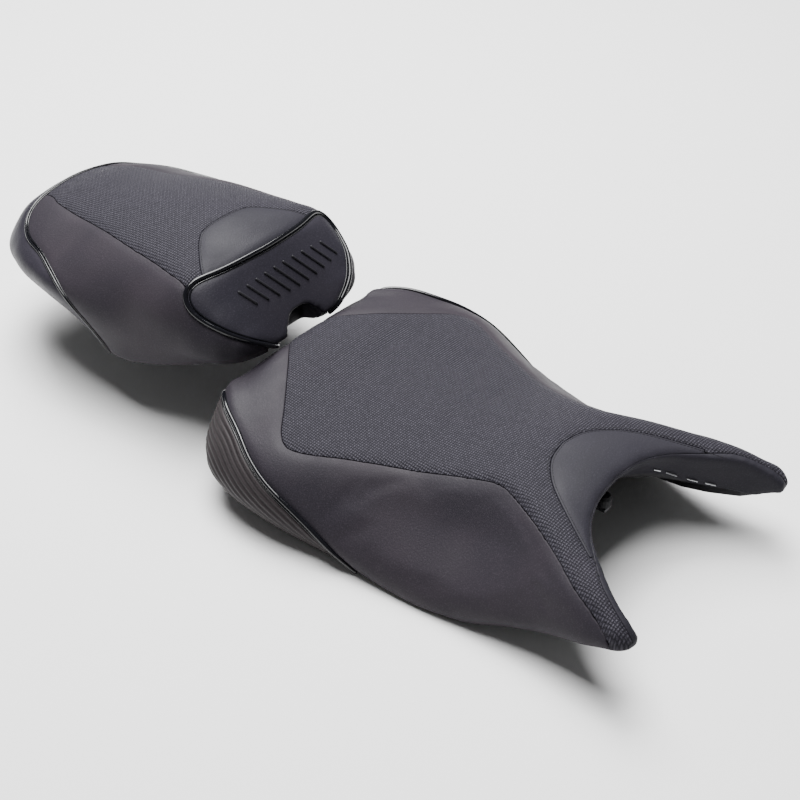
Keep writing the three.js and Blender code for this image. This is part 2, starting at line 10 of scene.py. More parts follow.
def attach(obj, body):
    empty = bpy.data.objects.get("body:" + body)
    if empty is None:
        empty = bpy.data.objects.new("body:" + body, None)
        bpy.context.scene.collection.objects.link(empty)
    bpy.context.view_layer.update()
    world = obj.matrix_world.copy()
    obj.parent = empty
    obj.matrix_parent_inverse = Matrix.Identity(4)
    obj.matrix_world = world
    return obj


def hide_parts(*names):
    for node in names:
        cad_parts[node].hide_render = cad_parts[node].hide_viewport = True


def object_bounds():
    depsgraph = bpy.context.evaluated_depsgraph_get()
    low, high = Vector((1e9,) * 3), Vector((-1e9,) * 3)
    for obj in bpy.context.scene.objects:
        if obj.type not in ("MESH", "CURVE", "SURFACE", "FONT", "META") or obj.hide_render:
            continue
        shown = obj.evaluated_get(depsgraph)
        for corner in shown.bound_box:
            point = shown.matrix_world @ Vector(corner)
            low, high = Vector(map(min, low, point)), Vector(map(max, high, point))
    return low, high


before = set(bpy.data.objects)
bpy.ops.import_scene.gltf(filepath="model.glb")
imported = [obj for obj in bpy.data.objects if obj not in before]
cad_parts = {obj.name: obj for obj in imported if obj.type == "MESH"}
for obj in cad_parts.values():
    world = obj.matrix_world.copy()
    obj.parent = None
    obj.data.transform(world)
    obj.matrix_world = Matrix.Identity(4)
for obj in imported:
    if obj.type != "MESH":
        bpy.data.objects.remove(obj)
cad_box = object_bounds()

# A motorcycle's rider seat, with a pillion seat behind it. Each is a padded body cut into cover
# panels along its seams, with piping, stitching and a foam cushion. The CAD's pans, brackets,
# hooks, feet, screws and staples show as they are.
#
# Curves and sizes are in millimetres, with y = 0 near the rider seat's nose and the front at -y.
# Curves give the half with x >= 0. ORIGIN is where the frame's origin lies in them.
ORIGIN = np.array([0.0, 302.0, -66.0])
VOXEL = 2.6  # mesh step of the covers
CUSHION_VOXEL = 5.0  # mesh step of the foam cushions
SECTION, SCAN = 48, 160  # points of a half section that is meshed, or searched
SPACING = 2.0  # of points along most paths

# Guide curves as (y, x, z); a section at any y runs crown, shoulder, flank, widest, hem.
RIDER = {
    "crown": [(-118, 0, -19), (-88, 0, -8), (-50, 0, 2), (0, 0, 19), (40, 0, 22), (110, 0, 11),
              (180, 0, 4), (248, 0, 5), (318, 0, 12), (341, 0, 8), (348, 0, 2)],
    "shoulder": [(-118, 116, -21), (-110, 116, -14), (-88, 113, -3), (-50, 104, 4), (0, 86, 12),
                 (50, 69, 13), (92, 75, 5), (121, 84, -1), (174, 104, -4), (248, 130, -5),
                 (285, 126, -3), (328, 98, 2), (348, 80, 1)],
    "flank": [(-118, 128, -23), (-110, 132, -17), (-88, 130, -12), (-50, 123, -7), (0, 108, -12),
              (50, 102, -24), (110, 114, -30), (174, 133, -26), (248, 161, -23),
              (285, 154, -15), (328, 126, -1.5), (348, 108, 0)],
    "widest": [(-118, 130, -26), (-110, 136, -28), (-88, 139, -34), (-32, 139, -48),
               (30, 147, -66), (92, 155, -71), (174, 163, -64), (248, 176, -53),
               (285, 175, -49), (328, 158, -41), (341, 143, -38), (348, 126, -35)],
    "hem": [(-118, 124, -31), (-110, 125, -34), (-88, 126, -44), (-32, 127, -67), (0, 134, -76),
            (30, 144, -84), (60, 151, -87), (174, 154, -87), (260, 153, -87), (310, 144, -84),
            (328, 134, -79), (341, 120, -69), (348, 108, -58)],
}
PILLION = {
    "crown": [(343, 0, 12), (347, 0, 20), (361, 0, 41), (384, 0, 71), (393, 0, 82), (411, 0, 90),
              (441, 0, 95), (475, 0, 95), (536, 0, 88), (595, 0, 78), (655, 0, 67),
              (693, 0, 52), (706, 0, 40), (713, 0, 28)],
    "shoulder": [(343, 34, 15), (347, 52, 24), (361, 78, 39), (384, 88, 58), (411, 91, 76),
                 (441, 86, 78), (475, 82, 77), (536, 80, 71), (595, 71, 63), (655, 64, 56),
                 (693, 55, 43), (706, 47, 32), (713, 38, 22)],
    "flank": [(343, 46, 15.5), (347, 66, 24), (361, 90, 32), (384, 104, 40), (411, 113, 47),
              (475, 111, 52), (536, 112, 48), (595, 107, 44), (655, 90, 43), (693, 70, 32),
              (706, 57, 24), (713, 45, 17)],
    "widest": [(343, 52, 14), (347, 69, 17), (361, 90, 14), (411, 114, 18), (475, 124, 22),
               (536, 129, 24), (595, 126, 28), (655, 108, 25), (693, 83, 16), (706, 67, 12),
               (713, 52, 10)],
    "hem": [(343, 46, 10.5), (347, 52, 9), (352, 56, 2), (361, 64, -4), (393, 91, -9),
            (441, 116, -18), (475, 124, -24), (509, 120, -27), (536, 116, -18), (565, 115, -9),
            (595, 115, -2), (655, 105, 4), (693, 83, 5), (713, 52, 6)],
}
RIDER_FRONT, RIDER_REAR = -118, 348
PILLION_FRONT, PILLION_REAR = 343, 713
# Tank notch lip as (x, y, run back per mm of depth), measured at height NOTCH_Z, and the heights
# of the loops that cut it out.
NOTCH_Z = 10
NOTCH_HEIGHTS = (60, 24, 12, 0, -12, -24, -36, -60, -120)
NOTCH_MOUTH = -180  # y at which the cut ends, in front of the horns
NOTCH = [(0, -18, 0.84), (20, -20, 0.8), (38, -25, 0.72), (61, -37, 0.5), (79, -54, 0.27),
         (103, -82, 0.08), (112, -100, 0), (116, -112, 0), (118, -124, 0)]
# Lower edge of the notch wall as (y, z), and width of the panel on it as (x, width).
NOTCH_EDGE = [(-140, -45), (-60, -36), (-42, -31), (-28, -24), (0, -17), (60, -17)]
WALL_BAND = [(0, 3.0), (66, 3.0), (92, 6.0), (104, 8.0), (120, 8.0)]
WALL_DEPTH = 5  # how far into the body a point still counts as on the notch wall
THIN = 3.6  # a nose panel narrower than this ends
# Arch cut through the foot of the pillion's face, as (x, z), between two y.
ARCH = [(27, -60), (27, 6), (23, 17), (13, 26), (0, 29)]
ARCH_Y = (320.0, 374.0)
# Seams in plan (x, y), from the rear or the middle to the front.
RIDER_WEAVE = [(8, 370), (20, 350), (38, 332), (72, 303), (103, 278), (127, 259), (134, 247),
               (132, 232), (112, 189), (85, 121), (75, 85), (71, 55), (80, 28), (94, -3),
               (105, -26), (122, -58), (131, -84), (139, -106), (139, -140)]
NOSE = [(0, 41), (24, 36), (44, 22), (58, 5), (77, -26), (96, -62), (106, -86), (106, -140)]
PILLION_WEAVE = [(38, 700), (44, 662), (52, 644), (64, 578), (77, 510), (84, 460), (92, 411),
                 (96, 380)]
DOME = [(0, 451), (22, 450.5), (32, 448.5), (43, 441), (59, 424.5), (72, 408), (80, 390)]
# Seams in side view (y, z), and the pillion's face in front view (x, z).
RIDER_PIPE = [(146, -87), (157, -77), (176, -64), (198, -51), (226, -36.5), (252, -25.5),
              (276, -16), (297, -8.5), (312, -5), (328, -3), (348, -3)]
PILLION_PIPE = [(497, -30), (503, -22), (520, -5), (537, 13), (552, 26), (568, 34), (590, 39),
                (612, 42), (650, 43), (668, 46), (678, 54), (682, 62)]
FACE = [(0, 81.5), (22, 81.5), (55, 79.5), (84, 77.5), (92, 74), (99, 66), (101, 58), (95, 47),
        (82, 35), (62, 22), (46, 13), (38, 7)]
FACE_FOOT = (38, -60)  # closes the face's outline below the hem
FACE_REAR, PIPE_FRONT = 425, 490  # y behind the face, and in front of the pillion's rear piping
PIPE_BAND = 12  # the rear piping's field is cut off at this
# The rider seat's piping ends with a turn down its rear, (x, y, z).
RIDER_PIPE_TAIL = [(104, 348, -10), (101, 348, -20), (100, 348, -36), (99, 348, -56)]
BACK_HALF, BACK_Z, BACK_Y = 101, -3, 343  # rear panel: half width, top edge and front edge
OFF = 10.0  # a field's value where it makes no seam
PAST = 400.0  # a height beyond any of the seat's
RAY_Z, RAY_Y = 200, 250  # where rays to the seats' tops and to the pillion's face start
WEAVE_FLOOR, DOME_FLOOR = 20, 50  # the pillion's top seams lie over these heights
CROSSING_HALF, CROSSING_Y = 78, (630.0, 690.0)  # where the rear piping crosses the pillion's top
LIP_REACH = 13  # the notch's lip is rounded within about this
TIP_Y, TIP_FADE = -98, 14  # the horns' tips are rounded in front of this y, more to the front

HEM_RISE = 0.6  # height of the hem seam over the hem
SEAM_GAP = 0.9  # half width of a seam groove
SEAM_DEPTH = 1.5  # how far a panel's edge rolls under
SEAM_DIP, SEAM_REACH = 0.9, 5.0  # how deep the pad is pulled in at a seam, and how far from it
SKIN = 2.1  # thickness of a cover panel
RINGS = 4  # steps round a panel's rolled edge
SNAP = 0.28  # a cut this near to a point, as a share of the edge, moves the point

SIM_VOXEL = 6.0  # mesh step of the cloth simulation
SIM_CAP = 1.3  # how far the simulation may move a point
SIM_FRAMES = 20
SIM_FADE = 14  # distance from a seam at which the simulated move counts in full
SIM_NEAR = 6  # simulated points that each point of the fine mesh follows
CLOTH = {"quality": 4, "mass": 0.3, "tension_stiffness": 15, "compression_stiffness": 15,
         "bending_stiffness": 0.5, "use_pressure": True, "uniform_pressure_force": 4,
         "vertex_group_mass": "held"}

RIB_PITCH, RIB_HEIGHT = 5.2, 0.32
RIB_MARGIN, RIB_FADE = 1.5, 3  # ribs start this far from a seam, and rise over this
RIDER_CORD, FACE_CORD, REAR_CORD = 2.3, 2.5, 1.6  # radii of the piping
FLANGE, FLANGE_GAP, FLANGE_RISE = 0.9, 1.1, 0.3  # slimmer bead beside it: radius and place
STITCH_PITCH, STITCH_LENGTH, STITCH_RADIUS = 3.4, 2.2, 0.32
STITCH_ASIDE = 2.2  # distance of a row of stitches from its seam
NOSE_SPAN, DOME_SPAN, LIP_SPAN = (-70, 60), (396, 470), (-110, -58)  # y of the rows' ends
THREAD_RISE, BAR_RISE = 0.05, 0.3  # heights over the cover
# Slanted bars across the pillion's face.
BARS, BAR_X, BAR_PITCH, BAR_Z = 10, -48, 13, 56
BAR_RADIUS, BAR_HALF, BAR_BELLY, BAR_SLANT = 1.5, 5.5, 5, 0.8


# ---- curves

def along(knots, at):
    """Smooth curve through (t, ...values) knots, at many t."""
    k = np.array(knots, float)
    xs, values = k[:, 0], k[:, 1:]
    step = np.diff(values, axis=0) / np.diff(xs)[:, None]
    slope = np.zeros_like(values)
    slope[0], slope[-1] = step[0], step[-1]
    for i in range(1, len(xs) - 1):
        before, after = xs[i] - xs[i - 1], xs[i + 1] - xs[i]
        slope[i] = (step[i - 1] * after + step[i] * before) / (before + after)
    t = np.atleast_1d(at).astype(float)
    i = np.clip(np.searchsorted(xs, t) - 1, 0, len(xs) - 2)
    h = (xs[i + 1] - xs[i])[:, None]
    s = np.clip(((t - xs[i]) / (xs[i + 1] - xs[i]))[:, None], 0, 1)
    return ((2 * s**3 - 3 * s**2 + 1) * values[i] + (s**3 - 2 * s**2 + s) * h * slope[i]
            + (3 * s**2 - 2 * s**3) * values[i + 1] + (s**3 - s**2) * h * slope[i + 1])


def catmull(points, knots, t):
    """Catmull-Rom piece between the middle two of four points, at t."""
    a, b, c, d = points
    ta, tb, tc, td = knots
    a1 = ((tb - t) * a + (t - ta) * b) / (tb - ta)
    a2 = ((tc - t) * b + (t - tb) * c) / (tc - tb)
    a3 = ((td - t) * c + (t - tc) * d) / (td - tc)
    b1 = ((tc - t) * a1 + (t - ta) * a2) / (tc - ta)
    b2 = ((td - t) * a2 + (t - tb) * a3) / (td - tb)
    return ((tc - t) * b1 + (t - tb) * b2) / (tc - tb)


def sections(seat, ys, count):
    """Half sections at many y, each count (x, z) points from crown to hem."""
    crown, shoulder, flank, widest, hem = (along(seat[k], ys) for k in seat)
    second = np.stack([shoulder[:, 0] * 0.55, crown[:, 1] * 0.7 + shoulder[:, 1] * 0.3], 1)
    p = np.stack([crown, second, shoulder, flank, widest, hem], 1)
    q = np.concatenate([p[:, 1:2] * [-1, 1], p, 2 * p[:, -1:] - p[:, -2:-1]], 1)
    gaps = np.sqrt(np.maximum(np.linalg.norm(np.diff(q, axis=1), axis=2), 1e-3))
    knot = np.concatenate([np.zeros((len(q), 1)), np.cumsum(gaps, 1)], 1)
    row = np.arange(len(q))
    out = []
    for u in np.linspace(0, 1, count):
        t = (knot[:, 1] + u * (knot[:, 6] - knot[:, 1]))[:, None]
        i = np.clip((knot < t).sum(1) - 1, 1, 5)
        out.append(catmull([q[row, i + j] for j in (-1, 0, 1, 2)],
                           [knot[row, i + j][:, None] for j in (-1, 0, 1, 2)], t))
    return np.stack(out, 1)


def spline(points, per=8):
    """Centripetal Catmull-Rom through points of any dimension."""
    p = np.array(points, float)
    q = np.vstack([2 * p[0] - p[1], p, 2 * p[-1] - p[-2]])
    out = []
    for i in range(1, len(q) - 2):
        four = q[i - 1:i + 3]
        knots = [0.0]
        for a, b in zip(four[:-1], four[1:]):
            knots.append(knots[-1] + max(np.linalg.norm(b - a), 1e-6) ** 0.5)
        out += [catmull(four, knots, t)
                for t in np.linspace(knots[1], knots[2], per, endpoint=False)]
    out.append(p[-1])
    return np.array(out)


def mirrored(half):
    """Closed outline from its half with x >= 0."""
    half = np.asarray(half, float)
    other = half[::-1].copy()
    other[:, 0] *= -1
    return np.vstack([half, other])


def flip(path):
    return np.asarray(path) * [-1, 1, 1]


def both_sides(half):
    """Open path over the middle, from its half with x >= 0, which starts there."""
    half = np.asarray(half)
    return np.vstack([flip(half)[:0:-1], half])


def lengths(path):
    """Length along a path up to each of its points."""
    return np.r_[0, np.cumsum(np.linalg.norm(np.diff(path, axis=0), axis=1))]


def at_lengths(path, length, at):
    return np.stack([np.interp(at, length, path[:, k]) for k in range(path.shape[1])], 1)


def resample(path, step):
    """Path through evenly spaced points, about a step apart."""
    path = np.asarray(path, float)
    length = lengths(path)
    count = max(int(round(length[-1] / step)), 2)
    return at_lengths(path, length, np.linspace(0, length[-1], count + 1))


def relax(path, rounds):
    """Path smoothed between its ends."""
    path = path.copy()
    for _ in range(rounds):
        path[1:-1] += 0.5 * ((path[:-2] + path[2:]) / 2 - path[1:-1])
    return path


def polygon_distance(p, polygon):
    """Signed distance in the plane, positive inside a closed polygon."""
    inside = np.zeros(len(p), bool)
    best = np.full(len(p), 1e9)
    for a, b in zip(polygon, np.roll(polygon, -1, 0)):
        ab = b - a
        t = np.clip(((p - a) @ ab) / max(ab @ ab, 1e-9), 0, 1)
        best = np.minimum(best, np.linalg.norm(p - (a + t[:, None] * ab), axis=1))
        spans = (a[1] > p[:, 1]) != (b[1] > p[:, 1])
        cross = a[0] + (p[:, 1] - a[1]) * (b[0] - a[0]) / ((b[1] - a[1]) or 1e-9)
        inside ^= spans & (p[:, 0] < cross)
    return np.where(inside, best, -best)


def side_x(seat, y, z):
    """x on the seat's side where its section at y has height z."""
    half = sections(seat, [y], SCAN)[0][::-1]
    for (x0, z0), (x1, z1) in zip(half[:-1], half[1:]):
        if (z0 - z) * (z1 - z) <= 0:
            return x0 + (x1 - x0) * (z - z0) / ((z1 - z0) or 1)
    return half[-1][0]


def top_z(seat, x, y):
    """z of the seat's top at x, in its section at y."""
    half = sections(seat, [y], SCAN)[0]
    i = np.searchsorted(np.maximum.accumulate(half[:, 0]), x)
    return half[min(i, len(half) - 1), 1]


# ---- meshes

def linked(name, data):
    """New object in the scene."""
    made = bpy.data.objects.new(name, data)
    bpy.context.scene.collection.objects.link(made)
    return made


def object_from(name, points, faces):
    """Mesh object from millimetre points in the curves' frame."""
    mesh = bpy.data.meshes.new(name)
    mesh.from_pydata(((np.asarray(points) - ORIGIN) * 0.001).tolist(), [], faces)
    mesh.validate()
    mesh.shade_smooth()
    return linked(name, mesh)


def read(items, name, width, kind=float):
    """One property of all vertices, edges or triangles, a row for each."""
    out = np.zeros(len(items) * width, kind)
    items.foreach_get(name, out)
    return out.reshape(-1, width)


def millimetres(mesh):
    """A mesh's points in the curves' frame."""
    return read(mesh.vertices, "co", 3) * 1000 + ORIGIN


def loops_to_mesh(loops):
    """Closed body through equal-length loops, with fans over both ends, facing outwards."""
    n, last = len(loops[0]), len(loops) - 1

    def ring(r):
        return [(r * n + c, r * n + (c + 1) % n) for c in range(n)]

    points = np.vstack([*loops, loops[0].mean(0), loops[last].mean(0)])
    middle = len(points) - 2
    faces = [(a, b, b + n, a + n) for r in range(last) for a, b in ring(r)]
    faces += [(b, a, middle) for a, b in ring(0)]
    faces += [(a, b, middle + 1) for a, b in ring(last)]
    volume = sum(points[f[0]] @ np.cross(points[f[k]], points[f[k + 1]])
                 for f in faces for k in range(1, len(f) - 1))
    if volume < 0:
        faces = [f[::-1] for f in faces]
    return points, faces


def whole(half):
    """Plane outline over both sides, from its half with x >= 0, which starts at x = 0."""
    return np.vstack([half[:0:-1] * [-1, 1], half])


def body_loops(seat, ys):
    """Loops round a seat at many y."""
    return [np.insert(whole(half), 1, y, axis=1)
            for y, half in zip(ys, sections(seat, ys, SECTION))]


def baked(obj):
    """Points, triangles and edges of an object with its modifiers applied."""
    result = obj.evaluated_get(bpy.context.evaluated_depsgraph_get())
    mesh = result.to_mesh()
    mesh.calc_loop_triangles()
    points = millimetres(mesh)
    tris = read(mesh.loop_triangles, "vertices", 3, int)
    edges = read(mesh.edges, "vertices", 2, int)
    result.to_mesh_clear()
    return points, tris, edges


def apply_modifiers(obj):
    """Replaces an object's mesh by the one its modifiers make, and returns it."""
    graph = bpy.context.evaluated_depsgraph_get()
    mesh = bpy.data.meshes.new_from_object(obj.evaluated_get(graph))
    obj.modifiers.clear()
    obj.data = mesh
    return mesh


def voxels(obj, step):
    """Adds a modifier that rebuilds an object's mesh on a grid, and returns it."""
    grid = obj.modifiers.new("grid", "REMESH")
    grid.mode = "VOXEL"
    grid.voxel_size = step / 1000
    return grid


def remove(*objects):
    for o in objects:
        bpy.data.objects.remove(o)


def normals(points, tris):
    """Area-weighted vertex normals."""
    a, b, c = points[tris[:, 0]], points[tris[:, 1]], points[tris[:, 2]]
    flat = np.cross(b - a, c - a)
    out = np.zeros_like(points)
    for k in range(3):
        np.add.at(out, tris[:, k], flat)
    return out / np.maximum(np.linalg.norm(out, axis=1, keepdims=True), 1e-12)


def smooth_points(points, edges, weight, rounds):
    """Laplacian smoothing, scaled by a weight for each point."""
    p = points.copy()
    count = np.bincount(edges.ravel(), minlength=len(p))[:, None]
    for _ in range(rounds):
        total = np.zeros_like(p)
        for a, b in ((0, 1), (1, 0)):
            np.add.at(total, edges[:, a], p[edges[:, b]])
        p += 0.5 * weight[:, None] * (total / count - p)
    return p


def search_tree(points):
    tree = KDTree(len(points))
    for i, p in enumerate(points):
        tree.insert(p, i)
    tree.balance()
    return tree


def distances(points, targets):
    """Distance of each point from the nearest target."""
    tree = search_tree(targets)
    return np.array([tree.find(p)[2] for p in points])


def compact(count, tris):
    """The numbers of the points that triangles use, and the triangles renumbered to them."""
    used = np.unique(tris)
    back = np.full(count, -1)
    back[used] = np.arange(len(used))
    return used, back[tris]


def cut_body(name, loops, cutter):
    """Fine, even mesh of the body through loops, less the one through the cutter's loops."""
    body = object_from(name, *loops_to_mesh(loops))
    tool = object_from(name + "_cutter", *loops_to_mesh(cutter))
    cut = body.modifiers.new("cut", "BOOLEAN")
    cut.operation = "DIFFERENCE"
    cut.object = tool
    cut.solver = "MANIFOLD"
    voxels(body, VOXEL)
    result = baked(body)
    remove(body, tool)
    return result


def iso_points(points, tris, field):
    """Points a fraction of a mesh step apart along field = 0."""
    out = []
    values = field[tris]
    crossing = tris[(values.min(1) < 0) & (values.max(1) >= 0)]
    ends = []
    for a, b in ((0, 1), (1, 2), (2, 0)):
        i, j = crossing[:, a], crossing[:, b]
        fi, fj = field[i], field[j]
        hit = (fi < 0) != (fj < 0)
        t = np.where(hit, fi / np.where(hit, fi - fj, 1), 0)[:, None]
        ends.append((hit, points[i] * (1 - t) + points[j] * t))
    for n in range(len(crossing)):
        pair = [e[1][n] for e in ends if e[0][n]]
        if len(pair) == 2:
            for t in (0, 0.25, 0.5, 0.75):
                out.append(pair[0] * (1 - t) + pair[1] * t)
    return np.array(out)


def clip(points, tris, level):
    """The part of a mesh where level > 0. Returns points, triangles and, for each point, the two
    old points and the share between them that it comes from."""
    level = level.copy()
    p = points.copy()
    edges = np.unique(np.sort(np.vstack([tris[:, [0, 1]], tris[:, [1, 2]], tris[:, [2, 0]]]), 1),
                      axis=0)
    li, lj = level[edges[:, 0]], level[edges[:, 1]]
    cross = (li > 0) != (lj > 0)
    e, li, lj = edges[cross], li[cross], lj[cross]
    t = li / (li - lj)
    best = {}
    for (i, j), s in zip(e, t):
        for v, share, other in ((i, s, j), (j, 1 - s, i)):
            if share < SNAP and share < best.get(v, (9,))[0]:
                best[v] = (share, other)
    source = [(i, i, 0.0) for i in range(len(p))]
    for v, (share, other) in best.items():
        p[v] = points[v] * (1 - share) + points[other] * share
        source[v] = (v, other, share)
    level[list(best)] = 0.0
    out = tris[(level[tris] >= 0).all(1) & (level[tris] > 0).any(1)].tolist()
    mixed = tris[(level[tris] > 0).any(1) & (level[tris] < 0).any(1)]
    extra = []
    made = {}

    def between(i, j):
        key = (i, j) if i < j else (j, i)
        if key not in made:
            s = level[i] / (level[i] - level[j])
            made[key] = len(p) + len(extra)
            extra.append(p[i] * (1 - s) + p[j] * s)
            source.append((i, j, s))
        return made[key]

    for tri in mixed:
        poly = []
        for k in range(3):
            i, j = tri[k], tri[(k + 1) % 3]
            if level[i] >= 0:
                poly.append(i)
            if level[i] * level[j] < 0:
                poly.append(between(i, j))
        for k in range(1, len(poly) - 1):
            out.append([poly[0], poly[k], poly[k + 1]])
    p = np.vstack([p, extra]) if extra else p
    used, out = compact(len(p), np.array(out, int))
    return p[used], out, [source[i] for i in used]


def biggest(tris, count):
    """Triangles of the largest connected patch."""
    parent = np.arange(count)

    def find(i):
        while parent[i] != i:
            parent[i] = parent[parent[i]]
            i = parent[i]
        return i

    for a, b, c in tris:
        ra, rb, rc = find(a), find(b), find(c)
        parent[rb] = ra
        parent[find(rc)] = ra
    roots = np.array([find(a) for a in tris[:, 0]])
    kinds, sizes = np.unique(roots, return_counts=True)
    return tris[roots == kinds[sizes.argmax()]]


def shell(name, points, tris, normal):
    """Closed cover panel: outer face, an edge rolled under all round, and an inner face."""
    n = len(points)
    directed = dict.fromkeys(e for a, b, c in tris for e in ((a, b), (b, c), (c, a)))
    rim = [(i, j) for (i, j) in directed if (j, i) not in directed]
    rim_points = sorted({i for e in rim for i in e})
    place = {v: k for k, v in enumerate(rim_points)}
    tangent = np.zeros((len(rim_points), 3))
    for i, j in rim:
        step = points[j] - points[i]
        step = step / max(np.linalg.norm(step), 1e-9)
        tangent[place[i]] += step
        tangent[place[j]] += step
    tangent /= np.maximum(np.linalg.norm(tangent, axis=1, keepdims=True), 1e-9)
    rn = normal[rim_points]
    outward = np.cross(tangent, rn)
    base = points[rim_points]
    rings = []
    for k in range(1, RINGS + 1):
        angle = math.pi / 2 * k / RINGS
        rings.append(base + outward * SEAM_GAP * math.sin(angle)
                     - rn * SEAM_DEPTH * (1 - math.cos(angle)))
    inner = points - normal * SKIN
    all_points = np.vstack([points, *rings, inner])
    m = len(rim_points)
    faces = tris.tolist()
    faces += (tris[:, ::-1] + n + RINGS * m).tolist()
    for edge in rim:
        a, b = ([v] + [n + k * m + place[v] for k in range(RINGS)] + [n + RINGS * m + v]
                for v in edge)
        faces += [[b[k], a[k], a[k + 1], b[k + 1]] for k in range(RINGS + 1)]
    return object_from(name, all_points, faces)


CAP = ((0.4, 0.88), (0.75, 0.55))  # rings at a cord's end: how far out and how wide, in radii


def tube(name, path, radius, sides):
    """Round cord with domed ends along a path."""
    tangent = np.gradient(path, axis=0)
    tangent /= np.linalg.norm(tangent, axis=1, keepdims=True)
    across = np.cross(tangent[0], [0.3, 0.2, 1.0])
    loops = []
    rows = [(0, -push, share) for push, share in CAP[::-1]]
    rows += [(i, 0.0, 1.0) for i in range(len(path))]
    rows += [(len(path) - 1, push, share) for push, share in CAP]
    angles = np.linspace(0, 2 * math.pi, sides, endpoint=False)
    for i, push, share in rows:
        t = tangent[i]
        across = across - t * (across @ t)
        across /= np.linalg.norm(across)
        other = np.cross(t, across)
        centre = path[i] + t * push * radius
        ring = [centre + radius * share * (math.cos(a) * across + math.sin(a) * other)
                for a in angles]
        loops.append(np.array(ring))
    return object_from(name, *loops_to_mesh(loops))


# ---- the two padded bodies

notch = spline(NOTCH, 6)
notch[:, 0] = np.maximum.accumulate(notch[:, 0])
notch_plan = mirrored(np.vstack([notch[:, :2], [(notch[-1, 0], NOTCH_MOUTH)]]))


def notch_loops():
    out = []
    for z in NOTCH_HEIGHTS:
        half = np.stack([notch[:, 0], notch[:, 1] + notch[:, 2] * (NOTCH_Z - z)], 1)
        half = np.vstack([half, [half[-1, 0], NOTCH_MOUTH]])
        out.append(np.insert(whole(half), 2, z, axis=1))
    return out


def notch_field(p):
    """Distance behind the notch wall, negative in the notch."""
    lean = np.interp(np.abs(p[:, 0]), notch[:, 0], notch[:, 2])
    level = np.stack([p[:, 0], p[:, 1] - lean * (NOTCH_Z - p[:, 2])], 1)
    return -polygon_distance(level, notch_plan) / np.sqrt(1 + lean**2)


def lip_line():
    """The notch's lip, where its wall meets the top of the seat."""
    out = []
    for x, y0, back in notch[::2]:
        z = 0.0
        for _ in range(6):
            y = y0 + back * (NOTCH_Z - z)
            z = top_z(RIDER, x, y)
        out.append((x, y, z))
    return resample(mirrored(out), SPACING)


def arch_loops():
    half = spline(ARCH, 6)
    outline = np.vstack([half, half[-2::-1] * [-1, 1]])
    return [np.insert(outline, 1, y, axis=1) for y in ARCH_Y]


def swollen(points, tris, pins, name):
    """The body's points after a cloth simulation: pressure from inside, pins held, and the
    move of each point capped."""
    body = object_from(name, points, tris.tolist())
    voxels(body, SIM_VOXEL)
    start, sim_tris, _ = baked(body)
    remove(body)
    pad = object_from(name + "_pad", start, sim_tris.tolist())
    held = pad.vertex_groups.new(name="held")
    near = distances(start, pins)
    held.add([int(i) for i in np.nonzero(near < SIM_VOXEL)[0]], 1.0, "REPLACE")
    cloth = pad.modifiers.new("cloth", "CLOTH")
    for key, value in CLOTH.items():
        setattr(cloth.settings, key, value)
    cloth.settings.effector_weights.gravity = 0
    cloth.collision_settings.use_collision = False
    scene = bpy.context.scene
    for f in range(1, SIM_FRAMES + 1):
        scene.frame_set(f)
    moved, _, _ = baked(pad)
    remove(pad)
    scene.frame_set(1)
    move = moved - start
    length = np.linalg.norm(move, axis=1, keepdims=True)
    move *= np.minimum(1, SIM_CAP / np.maximum(length, 1e-9))
    tree = search_tree(start)
    out = points.copy()
    for i, q in enumerate(points):
        near = tree.find_n(q, SIM_NEAR)
        weight = np.array([1 / (n[2] + 0.5) for n in near])
        out[i] += (move[[n[1] for n in near]] * weight[:, None]).sum(0) / weight.sum()
    return out


class Seat:
    """Fine mesh of one seat's outside. fields(points) gives named values for each point, each 0
    along a seam. seams has a field's name and a test(fields, points) of where it is a seam."""

    def __init__(self, name, points, tris, fields, seams):
        values = fields(points)
        lines = []
        for key, test in seams:
            line = iso_points(points, tris, values[key])
            lines.append(line[test(fields(line), line)])
        self.tris, self.seams = tris, np.vstack(lines)

        # swell the body between its seams, then pull it in along them
        moved = swollen(points, tris, self.seams, name)
        self.far = distances(points, self.seams)
        points = points + (moved - points) * np.clip(self.far / SIM_FADE, 0, 1)[:, None]
        dip = SEAM_DIP * np.exp(-(self.far / SEAM_REACH) ** 2)
        self.points = points - normals(points, tris) * dip[:, None]
        self.normal = normals(self.points, tris)
        self.tree = BVHTree.FromPolygons(self.points.tolist(), tris.tolist())

    def panel(self, name, inside):
        """Cover panel over the points inside, up to the seams round them."""
        level = np.where(inside, self.far, -self.far) - SEAM_GAP
        points, tris, source = clip(self.points, self.tris, level)
        used, tris = compact(len(points), biggest(tris, len(points)))
        i, j, s = (np.array([source[u][k] for u in used]) for k in range(3))
        mix = self.normal[i] * (1 - s[:, None])
        mix = mix + self.normal[j] * s[:, None]
        mix /= np.linalg.norm(mix, axis=1, keepdims=True)
        return shell(name, points[used], tris, mix)

    def on_surface(self, path, rise):
        """Path moved to the nearest points of the body, and raised by so much."""
        out = []
        for q in path:
            hit, normal, _, _ = self.tree.find_nearest(Vector(q))
            out.append(np.array(hit) + np.array(normal) * rise)
        return np.array(out)

    def top_run(self, plan, span):
        """Where a plan curve lies on the top of the seat, between the two y of a span."""
        hits = (self.tree.ray_cast(Vector((x, y, RAY_Z)), Vector((0, 0, -1)))[0] for x, y in plan)
        run = np.array([hit for hit in hits if hit is not None])
        return run[(run[:, 1] > span[0]) & (run[:, 1] < span[1])]


def piping_seam(knots, count):
    """y and z of a seam in side view, at count evenly spaced y."""
    y = np.linspace(knots[0][0], knots[-1][0], count)
    return y, relax(np.stack([y, along(knots, y)[:, 0]], 1), 6)[:, 1]


